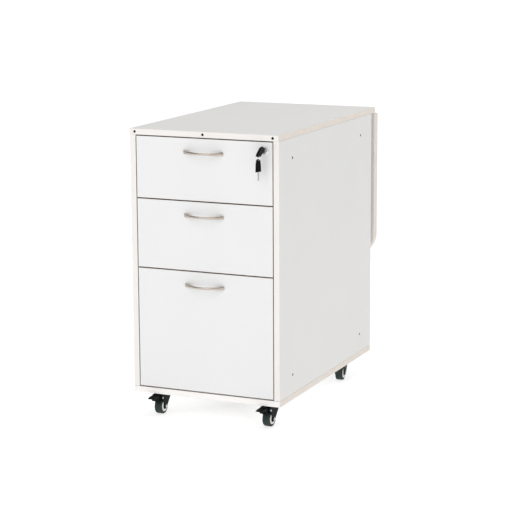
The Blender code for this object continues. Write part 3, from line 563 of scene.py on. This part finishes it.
LOCK_LOW, LOCK_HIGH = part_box("lock_barrel")
LOCK = Vector(((LOCK_LOW.x + LOCK_HIGH.x) / 2, FRONT_Y, (LOCK_LOW.z + LOCK_HIGH.z) / 2))
KEY_TILT = Matrix.Translation(LOCK) @ Matrix.Rotation(math.radians(26), 4, "Y")
BOW_Y, BOW_HALF_LENGTH, BOW_HALF_HEIGHT = -0.0205, 0.0123, 0.0128
BOW_THICKNESS, SPARE_THICKNESS, BLADE_THICKNESS = 0.0056, 0.0028, 0.0016
WEB_THICKNESS = 0.0012  # the plastic left round a ring's hole
RING_RADIUS, RING_WIRE, RING_YAW = 0.0072, 0.00030, math.radians(-40)
HOLE_OUT, HOLE_DROP, DISH_RADIUS = 0.0056, 0.0068, 0.0036
BOW_HOLE_RADIUS, SPARE_HOLE_RADIUS = 0.0022, 0.0009
SPARE_TOP_HALF_WIDTH, SPARE_FOOT_HALF_WIDTH = 0.0052, 0.0069
SPARE_RISE, SPARE_LENGTH, SPARE_SLANT = 0.004, 0.031, 0.003


def lock():
    """The rosette and barrel, the plug with its keyway, and the cam behind."""
    bore, barrel = 0.0056, 0.0090
    rosette = turned([
        (bore, 0.0024), (0.0060, 0.0030), (0.0094, 0.0030), (0.0100, 0.0027), (0.0112, 0.0027),
        (0.0121, 0.0018), (0.0125, 0.0008), (0.0125, 0.0003), (barrel, 0.0003), (barrel, -0.0300),
        (bore, -0.0300),
    ], LOCK, (0, -1, 0), 64)
    rosette = made_object("lock_rosette", rosette, LOCK_METAL)
    corners = ((0.0066, 0.0), (0.0092, 0.0013), (0.0092, -0.0013))
    notch = [(LOCK.x + across, LOCK.z + up) for across, up in corners]
    carved(rosette, [extruded(notch, "Y", LOCK.y - 0.0040, LOCK.y - 0.0022)])
    placed(rosette, "drawer_1", "lock_silver", "lock_barrel")
    # Painted reflection: a near-black fill in the notch, standing in for the key's dark reflection in the
    # rosette.
    paint = extruded(notch, "Y", LOCK.y - 0.00235, LOCK.y - 0.0021)
    placed(made_object("lock_notch_painted_reflection", paint, PAINTED_SHADE_AND_REFLECTION), "drawer_1", "caster_black")
    plug = turned([
        (0.0, 0.0034), (0.0044, 0.0034), (0.0053, 0.0026), (0.0053, -0.0331), (0.0, -0.0331),
    ], LOCK, (0, -1, 0), 48)
    # The plug's dark metal is painted shade, standing in for the key's shadow round the keyway.
    piece = made_object("lock_plug_face", plug, PLUG_METAL_PAINTED_SHADE)
    keyway = cuboid((-0.0011, -0.010, -0.0042), (0.0011, 0.020, 0.0042))
    bmesh.ops.transform(keyway, matrix=KEY_TILT, verts=keyway.verts)
    carved(piece, [keyway])
    placed(piece, "lock_plug", "lock_silver", "lock_plug")
    arm = arc((0.0165, 0.0), 0.003, -90, 90, 10) + arc((0.0, 0.0), 0.0058, 115, 245, 10)
    cam = rounded(extruded(arm, "Y", 0.0307, 0.0330), 0.0003)
    turn = Matrix.Translation(LOCK) @ Matrix.Rotation(math.radians(-25), 4, "Y")
    bmesh.ops.transform(cam, matrix=turn, verts=cam.verts)
    placed(made_object("lock_cam", cam, ZINC), "lock_plug", "slide_steel")
    softened("lock_bar", "lock_bar", "slide_steel", ZINC, 0.0002)


def key_blade(length, half_height, teeth):
    """A blade's outline in (along, up), from the bow at 0 to the tip, with cut teeth on the lower edge."""
    pitch, depths = 0.0026, (0.25, 0.55, 0.35, 0.70, 0.45)
    points = [(0.0, half_height), (length - 0.0025, half_height), (length, half_height * 0.2)]
    x = length - 0.0015
    for i in range(teeth):
        floor = half_height * (depths[i % len(depths)] - 1)
        points += [(x, -half_height), (x - 0.0008, floor), (x - 0.0018, floor)]
        x -= pitch
    points += [(x, -half_height), (0.0, -half_height)]
    return points


def bow_tools(across, thickness, place, radius, panel):
    """Cutters for a bow: the ring's hole with a dish round it on each face, and a grip panel on each face.
    across is the bow's thin axis."""
    half, web, relief = thickness / 2, WEB_THICKNESS / 2, 0.0003
    along = Vector(PLANES[across](0, 0, 1))
    place = Vector(place)
    tools = [drum(place - along * thickness, place + along * thickness, radius, 32)]
    for side in (-1, 1):
        near, far = side * web, side * thickness
        tools.append(drum(place + along * near, place + along * far, DISH_RADIUS, 32))
        tools.append(extruded(panel, across, *sorted((side * (half - relief), far))))
    return tools


def key_in_lock():
    """The black bow and the blade in the keyway. Returns the place of the ring's hole."""
    power = 4.0
    outline = []
    for i in range(56):
        a = 2 * math.pi * i / 56
        c, s = math.cos(a), math.sin(a)
        square = (abs(c) ** power + abs(s) ** power) ** (-1 / power)
        outline.append((BOW_HALF_LENGTH * c * square, BOW_HALF_HEIGHT * s * square))
    half = BOW_THICKNESS / 2
    slab = rounded(extruded([(BOW_Y + a, b) for a, b in outline], "X", -half, half), 0.0018, 4)
    bow = made_object("key_bow", slab, KEY_PLASTIC)
    hole = (0.0, BOW_Y - HOLE_OUT, -HOLE_DROP)
    panel = [(BOW_Y + 0.0020 + a * 0.56, 0.0030 + b * 0.46) for a, b in outline]
    carved(bow, bow_tools("X", BOW_THICKNESS, hole, BOW_HOLE_RADIUS, panel))
    bow.data.transform(KEY_TILT)
    placed(bow, "lock_plug", "key_plastic", "key_in_lock")
    blade = cuboid((-BLADE_THICKNESS / 2, -0.0095, -0.0037), (BLADE_THICKNESS / 2, 0.018, 0.0037))
    piece = made_object("key_blade", rounded(blade, 0.0002), BLADE_METAL)
    piece.data.transform(KEY_TILT)
    placed(piece, "lock_plug", "lock_silver")
    return KEY_TILT @ Vector(hole)


def spare_key(hole):
    """A split ring of two turns through the bow, and the spare key on it."""
    turns, steps = 1.9, 76
    path = []
    for i in range(steps + 1):
        angle = 2 * math.pi * turns * i / steps - math.pi * 0.4
        along = RING_RADIUS * math.cos(angle)
        off = RING_WIRE * (2 * i / steps - 1)
        path.append((
            hole.x + along * math.cos(RING_YAW) - off * math.sin(RING_YAW),
            hole.y + along * math.sin(RING_YAW) + off * math.cos(RING_YAW),
            hole.z + RING_RADIUS * (math.sin(angle) - 1),
        ))
    ring = made_object("split_ring", piped(path, RING_WIRE, 10), LOCK_METAL, smooth=60.0)
    placed(ring, "spare_key", "lock_silver", "key_ring")

    place = Matrix.Translation(hole)
    top_half, foot_half, half = SPARE_TOP_HALF_WIDTH, SPARE_FOOT_HALF_WIDTH, SPARE_THICKNESS / 2
    top = SPARE_RISE - 2 * RING_RADIUS
    shoulder, bottom, slant = top - top_half, top - SPARE_LENGTH, SPARE_SLANT / 2
    waist, waist_half = shoulder - 0.007, (top_half + 2 * foot_half) / 3
    outline = arc((0.0, shoulder), top_half, 0, 180, 24) + [(-waist_half, waist)]
    outline += [(-foot_half, bottom - slant), (foot_half, bottom + slant), (waist_half, waist)]
    slab = rounded(extruded(outline, "Y", -half, half), 0.0006, 3, 50.0)
    bow = made_object("spare_key_bow", slab, KEY_PLASTIC)
    grip, low = 0.0042, bottom + 0.0035
    panel = arc((0.0, shoulder - 0.0065), grip, 0, 180, 16) + [(-grip, low - slant), (grip, low + slant)]
    hole_place = (0.0, 0.0, -2 * RING_RADIUS)
    carved(bow, bow_tools("Y", SPARE_THICKNESS, hole_place, SPARE_HOLE_RADIUS, panel))
    bow.data.transform(place)
    placed(bow, "spare_key", "key_plastic", "spare_key")
    points = key_blade(0.0225, 0.0020, 6)
    across = BLADE_THICKNESS / 2
    blade = extruded([(up, bottom + 0.001 - along) for along, up in points], "Y", -across, across)
    piece = made_object("spare_key_blade", rounded(blade, 0.00015, 1), BLADE_METAL)
    piece.data.transform(place)
    placed(piece, "spare_key", "lock_silver")


# Leaf

PIN = Vector((0.0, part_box("leaf_panel")[0].y + 0.0065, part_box("leaf_panel")[1].z - 0.0007))
STAY_DROP = 0.130  # from the hinge's pin down to the stay's


def leaf():
    """The hanging leaf: a round-cornered slab with a banded rim, its pocket and its recess."""
    low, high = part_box("leaf_panel")
    corner = 0.060
    across, up = high.x - corner, low.z + corner
    outline = [(-high.x, high.z)]
    outline += arc((-across, up), corner, 180, 270, 28)
    outline += arc((across, up), corner, 270, 360, 28)
    outline.append((high.x, high.z))
    form = extruded(outline, "Y", low.y, high.y)
    for side in form.faces:
        side.material_index = 0 if len(side.verts) > 4 else 1
    rounded(form, 0.0008, 3, 60.0)
    large = [f for f in form.faces if len(f.verts) > 20]
    for side in large:
        wrap = bmesh.ops.inset_individual(form, faces=[side], thickness=BAND_WRAP, depth=BAND_RELIEF)
        for ring in wrap["faces"]:
            ring.material_index = 1
    # The leaf's faces take the lighter laminate, which is painted light. Its edges take the side band, which
    # is partly painted shade.
    panel = made_object("leaf_board", form, LEAF_LAMINATE_PAINTED_LIGHT, SIDE_BAND_PAINTED_SHADE, smooth=40.0)
    pin_y, pin_z = PIN.y, PIN.z
    arm_z = pin_z - STAY_DROP
    carved(panel, [
        cuboid((-0.153, low.y - 0.01, pin_z - 0.0265), (0.153, pin_y + 0.0034, high.z + 0.01)),
        cuboid((-0.1545, low.y - 0.01, arm_z - 0.222), (0.1545, pin_y + 0.0055, arm_z + 0.013)),
        drum((-0.1636, pin_y, arm_z), (0.1636, pin_y, arm_z), 0.0043, 32),
    ])
    placed(panel, "leaf", "white_laminate", "leaf_panel")
    softened("hinge_leaf_wing", "leaf", "stay_steel", STEEL, 0.0001, 1)
    softened("hinge_top_wing", "cabinet", "stay_steel", STEEL, 0.0001, 1)
    softened("stay_catch", "cabinet", "stay_steel", STEEL, 0.0002)
    stay(pin_y, arm_z)


def stay(pin_y, arm_z):
    """The bent rod in the leaf's recess."""
    half, end, bend, length = 0.148, 0.163, 0.012, 0.2143
    elbow = 0.006
    side = [(end, 0.0), (half + 2 * elbow, 0.0)]
    side += arc((half + elbow, -elbow), elbow, 90, 180, 12)
    side += arc((half - bend, -length + bend), bend, 0, -90, 14)
    path = side + [(-x, z) for x, z in reversed(side)]
    rod = piped([(x, pin_y, arm_z + z) for x, z in path], 0.004, 24)
    placed(made_object("stay_rod", rod, STEEL, smooth=50.0), "stay", "stay_steel", "stay_bail")


# Casters

CASTER_HEADINGS = {
    "caster_front_left": 0.0, "caster_front_right": -3.5, "caster_rear_left": 4.0, "caster_rear_right": 6.0,
}
WHEEL_RADIUS, WHEEL_TRAIL = 0.020, 0.012
LEG_INNER, LEG_OUTER = 0.0118, 0.0138
PEDAL_Y, PEDAL_Z, PEDAL_HALF_WIDTH = -0.0290, 0.0455, 0.0092
AXLE_Y, AXLE_Z = -WHEEL_TRAIL, WHEEL_RADIUS


def caster(name, heading):
    """The fixed plate with its race, the swivelling fork, and the wheel. The front ones have a brake."""
    plate_low, plate_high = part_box(f"{name}_plate")
    axis = (plate_low + plate_high) / 2
    axis.z = 0.0
    local = Matrix.Translation(axis) @ Matrix.Rotation(math.radians(heading), 4, "Z")

    def swung(piece_name, form, material, body, slot, *nodes, smooth=30.0):
        bmesh.ops.transform(form, matrix=local, verts=form.verts)
        return placed(made_object(piece_name, form, material, smooth=smooth), body, slot, *nodes)

    caster_mount(name, axis, plate_low.z, plate_high.z)
    fork(name, swung)
    wheel(f"{name}_wheel", swung)
    if "front" in name:
        brake(name, swung)


def caster_mount(name, axis, seam, under):
    """The screwed plate with the upper race pressed from it."""
    half, corner, sheet = 0.021, 0.004, 0.0024
    outline = []
    for cx, cy, start in ((1, 1, 0), (-1, 1, 90), (-1, -1, 180), (1, -1, 270)):
        middle = (axis.x + cx * (half - corner), axis.y + cy * (half - corner))
        outline += arc(middle, corner, start, start + 90, 6)
    plate = rounded(extruded(outline, "Z", under - sheet, under), 0.0004, 2, 50.0)
    race = turned([
        (0.0046, 0.0570), (0.0046, seam), (0.0126, seam), (0.0138, seam + 0.0008), (0.0140, seam + 0.0020),
        (0.0140, 0.0570),
    ], axis, (0, 0, 1), 40)
    placed(made_object(f"{name}_mount", merged([plate, race]), POWDER_BLACK), "cabinet", "caster_black",
           f"{name}_plate")
    reach = 0.0165
    heads = [
        screw_head((axis.x + dx, axis.y + dy, under - sheet), (0, 0, -1), 0.0030, 0.0011)
        for dx in (-reach, reach) for dy in (-reach, reach)
    ]
    placed(made_object(f"{name}_screws", merged(heads), ZINC), "cabinet", "slide_steel")


def fork(name, swung):
    """Two pressed legs joined by a bridge, a race with the kingpin, and the axle with its nut."""
    top, boss, corner, front, rear = 0.0527, 0.0065, 0.0010, -0.0340, 0.0215
    leg = arc((AXLE_Y, AXLE_Z), boss, 180, 340, 14)
    leg += arc((rear - corner, top - corner), corner, -30, 90, 4)
    leg += arc((front + corner, top - corner), corner, 90, 180, 4)
    leg += [(front, 0.0440), (-0.0300, 0.0408), (-0.0240, 0.0365), (-0.0202, 0.0305), (-0.0188, 0.0245)]
    for side, word in ((-1, "left"), (1, "right")):
        form = rounded(extruded(leg, "X", *sorted((side * LEG_INNER, side * LEG_OUTER))), 0.0005, 2, 20.0)
        swung(f"{name}_leg_{word}", form, POWDER_BLACK, name, "caster_black")
    inset = 0.0004
    bridge = cuboid((inset - LEG_OUTER, -0.0175, 0.0507), (LEG_OUTER - inset, rear - inset, top - inset))
    swung(f"{name}_bridge", rounded(bridge, 0.0003), POWDER_BLACK, name, "caster_black", f"{name}_fork")
    race = turned([
        (0.0, 0.0510), (0.0132, 0.0510), (0.0140, 0.0516), (0.0140, 0.0524), (0.0132, 0.0530),
        (0.0040, 0.0530), (0.0040, 0.0584), (0.0, 0.0584),
    ], (0, 0, 0), (0, 0, 1), 40)
    swung(f"{name}_race", race, POWDER_BLACK, name, "caster_black")

    washer, head, flats = 0.0008, 0.0045, 6
    forms = [drum((-LEG_OUTER, AXLE_Y, AXLE_Z), (LEG_OUTER, AXLE_Y, AXLE_Z), 0.0025, 24)]
    for side in (-1, 1):
        forms.append(turned(
            [(0.0, 0.0), (head, 0.0), (head, washer), (0.0, washer)],
            (side * LEG_OUTER, AXLE_Y, AXLE_Z), (side, 0, 0), 32,
        ))
    near = -LEG_OUTER - washer
    nut_and_end = ((0.0, 0.0022, 0.0042, flats, 0.0003), (0.0020, 0.0027, 0.0024, 24, 0.0002))
    for start, end, radius, sides, edge in nut_and_end:
        nut = drum((near - start, AXLE_Y, AXLE_Z), (near - end, AXLE_Y, AXLE_Z), radius, sides)
        forms.append(rounded(nut, edge))
    forms.append(turned([
        (0.0, 0.0006), (0.0040, 0.0006), (0.0041, 0.0018), (0.0034, 0.0028), (0.0020, 0.0033), (0.0, 0.0035),
    ], (LEG_OUTER, AXLE_Y, AXLE_Z), (1, 0, 0), 32))
    swung(f"{name}_axle", merged(forms), BOLT_METAL, name, "slide_steel")


def wheel(name, swung):
    """A dark tread, a cream rim standing proud on each side, and a dark ribbed hub."""
    hub, half, lip = (0, AXLE_Y, AXLE_Z), 0.0096, 0.0106
    inner, outer = 0.0084, 0.0137
    crown = [
        (outer - 0.0005, half - 0.0006), (0.0150, half), (0.0178, half), (0.0189, half - 0.0004),
        (0.0196, half - 0.0012), (WHEEL_RADIUS, half - 0.0024), (WHEEL_RADIUS, 0.0010), (0.0196, 0.0006),
        (0.0196, 0.0),
    ]
    tread = crown + [(a, -b) for a, b in reversed(crown[:-1])]
    tyre = turned(tread, hub, (1, 0, 0), 72)
    swung(f"{name}_tread", tyre, TREAD_RUBBER, name, "wheel_rubber", name, smooth=45.0)
    rims = [
        turned([
            (inner, side * 0.0070), (inner, side * (lip - 0.0004)), (inner + 0.0004, side * lip),
            (outer - 0.0005, side * lip), (outer, side * (lip - 0.0006)), (outer, side * 0.0070),
        ], hub, (1, 0, 0), 72) for side in (-1, 1)
    ]
    swung(f"{name}_rings", merged(rims), RING_CREAM, name, "wheel_rubber", smooth=50.0)
    bore, bearing, disc = 0.0029, 0.0060, 0.0068
    face = [(bore, 0.0086), (bearing, 0.0086), (0.0066, 0.0080), (0.0074, disc), (0.0086, disc)]
    disc_form = turned(face + [(a, -b) for a, b in reversed(face)], hub, (1, 0, 0), 48)
    ribs = []
    for i in range(10):
        rib = cuboid((-disc - 0.0010, -0.0005, 0.0062), (disc + 0.0010, 0.0005, 0.0085))
        turn = Matrix.Translation(hub) @ Matrix.Rotation(2 * math.pi * i / 10, 4, "X")
        bmesh.ops.transform(rib, matrix=turn, verts=rib.verts)
        ribs.append(rib)
    swung(f"{name}_hub", merged([disc_form] + ribs), HUB_BLACK, name, "wheel_rubber")


def brake(name, swung):
    """The pedal: a lever with a turned-down hook and grip ribs, on its riveted pin."""
    outline = [
        (-0.0240, 0.0425), (-0.0205, 0.0480), (-0.0205, 0.0530), (-0.0360, 0.0540), (-0.0600, 0.0528),
        (-0.0670, 0.0505), (-0.0660, 0.0490), (-0.0520, 0.0488), (-0.0470, 0.0470), (-0.0445, 0.0390),
        (-0.0425, 0.0390), (-0.0415, 0.0460), (-0.0340, 0.0425),
    ]
    lever = rounded(extruded(outline, "X", -PEDAL_HALF_WIDTH, PEDAL_HALF_WIDTH), 0.0005, 2, 12.0)
    swung(f"{name}_pedal", lever, POWDER_BLACK, f"{name}_brake", "caster_black", f"{name}_brake")
    reach, half, rise = PEDAL_HALF_WIDTH - 0.0012, 0.0006, 0.0005
    rib_tops = (
        (-0.0440, 0.0536), (-0.0480, 0.0534), (-0.0520, 0.0532), (-0.0560, 0.0530), (-0.0595, 0.0528),
    )
    ribs = [
        rounded(cuboid((-reach, y - half, top - 0.0008), (reach, y + half, top + rise)), 0.0003)
        for y, top in rib_tops
    ]
    swung(f"{name}_pedal_ribs", merged(ribs), POWDER_BLACK, f"{name}_brake", "caster_black")
    pin = [drum((-LEG_OUTER, PEDAL_Y, PEDAL_Z), (LEG_OUTER, PEDAL_Y, PEDAL_Z), 0.0015, 20)]
    for side in (-1, 1):
        pin.append(turned([
            (0.0, 0.0), (0.0026, 0.0), (0.0026, 0.0004), (0.0018, 0.0011), (0.0, 0.0013),
        ], (side * LEG_OUTER, PEDAL_Y, PEDAL_Z), (side, 0, 0), 24))
    swung(f"{name}_pedal_pin", merged(pin), BOLT_METAL, f"{name}_brake", "slide_steel")


# Studio

def studio():
    """A pale floor that glows with painted light and fades to a painted soft shade under the object,
    surroundings that are darker on the left, and large soft lights.
    """
    form = bmesh.new()
    bmesh.ops.create_grid(form, x_segments=8, y_segments=8, size=FLOOR_HALF_SIZE)
    floor = made_object("floor", form, FLOOR_PAINTED_GLOW)
    floor.location.z = -0.0002
    floor_glow_and_painted_shade(FLOOR_PAINTED_GLOW.node_tree)

    world = bpy.data.worlds.new("studio")
    bpy.context.scene.world = world
    world.use_nodes = True
    nodes, links = world.node_tree.nodes, world.node_tree.links
    around = nodes["Background"]
    around.inputs["Color"].default_value = (1.0, 1.0, 1.0, 1.0)
    direction = nodes.new("ShaderNodeTexCoord")
    parts = nodes.new("ShaderNodeSeparateXYZ")
    slope = nodes.new("ShaderNodeMapRange")
    slope.interpolation_type = "SMOOTHSTEP"
    slope.inputs["From Min"].default_value, slope.inputs["From Max"].default_value = -0.9, 0.9
    slope.inputs["To Min"].default_value, slope.inputs["To Max"].default_value = AROUND_LEFT, AROUND_RIGHT
    links.new(direction.outputs["Generated"], parts.inputs["Vector"])
    links.new(parts.outputs["X"], slope.inputs["Value"])
    links.new(slope.outputs["Result"], around.inputs["Strength"])
    seen = nodes.new("ShaderNodeBackground")
    seen.inputs["Color"].default_value = (1.0, 1.0, 1.0, 1.0)
    seen.inputs["Strength"].default_value = BACKGROUND
    choice = nodes.new("ShaderNodeMixShader")
    path = nodes.new("ShaderNodeLightPath")
    links.new(path.outputs["Is Camera Ray"], choice.inputs["Fac"])
    links.new(around.outputs["Background"], choice.inputs[1])
    links.new(seen.outputs["Background"], choice.inputs[2])
    links.new(choice.outputs["Shader"], nodes["World Output"].inputs["Surface"])

    for name, place, size, power in LIGHTS:
        softbox(name, place, size, power)


def floor_glow_and_painted_shade(tree):
    """Painted light on the floor: its glow fades to a painted soft shade under the object, in place of part
    of its cast shadow.
    """
    nodes, links = tree.nodes, tree.links

    def math_node(operation, first, second):
        node = nodes.new("ShaderNodeMath")
        node.operation = operation
        links.new(first, node.inputs[0])
        if isinstance(second, float):
            node.inputs[1].default_value = second
        else:
            links.new(second, node.inputs[1])
        return node.outputs["Value"]

    place = nodes.new("ShaderNodeTexCoord")
    parts = nodes.new("ShaderNodeSeparateXYZ")
    links.new(place.outputs["Object"], parts.inputs["Vector"])
    outside = [
        math_node("SUBTRACT", math_node("MAXIMUM", parts.outputs[axis], math_node(
            "MULTIPLY", parts.outputs[axis], -1.0)), half)
        for axis, half in (("X", CAD_BOX[1].x), ("Y", CAD_BOX[1].y))
    ]
    reach = nodes.new("ShaderNodeMapRange")
    reach.inputs["From Min"].default_value, reach.inputs["From Max"].default_value = FLOOR_REACH
    links.new(math_node("MAXIMUM", *outside), reach.inputs["Value"])
    fade = nodes.new("ShaderNodeValToRGB")
    stops = fade.color_ramp.elements
    while len(stops) < len(FLOOR_GLOW_AND_PAINTED_SHADE):
        stops.new(1.0)
    for stop, (position, glow) in zip(stops, FLOOR_GLOW_AND_PAINTED_SHADE):
        stop.position, stop.color = position, (glow, glow, glow, 1.0)
    links.new(reach.outputs["Result"], fade.inputs["Fac"])
    shader = nodes["Principled BSDF"]
    shader.inputs["Emission Strength"].default_value = 1.0
    links.new(fade.outputs["Color"], shader.inputs["Emission Color"])


def softbox(name, place, size, power):
    """A square area light aimed at the object's middle."""
    light = bpy.data.lights.new(name, "AREA")
    light.size = size
    light.energy = power
    lamp = bpy.data.objects.new(name, light)
    lamp.location = place
    aim = Vector((0.0, 0.0, MIDDLE_Z)) - Vector(place)
    lamp.rotation_euler = aim.to_track_quat("-Z", "Y").to_euler()
    bpy.context.scene.collection.objects.link(lamp)


def camera():
    data = bpy.data.cameras.new("camera")
    data.lens = CAMERA_LENS
    data.sensor_width = 36.0
    data.clip_end = 50.0
    view = bpy.data.objects.new("camera", data)
    turn = (
        Matrix.Rotation(math.radians(CAMERA_AZIMUTH), 4, "Z")
        @ Matrix.Rotation(math.radians(90 - CAMERA_ELEVATION), 4, "X")
        @ Matrix.Rotation(math.radians(CAMERA_ROLL), 4, "Z")
    )
    view.matrix_world = Matrix.Translation(CAMERA_PLACE) @ turn
    bpy.context.scene.collection.objects.link(view)
    bpy.context.scene.camera = view


def main():
    camera()
    studio()
    bpy.context.scene.view_settings.view_transform = "Standard"
    carcass()
    for number in (1, 2, 3):
        drawer(number)
    lock()
    hole = key_in_lock()
    spare_key(hole)
    leaf()
    for name, heading in CASTER_HEADINGS.items():
        caster(name, heading)


main()
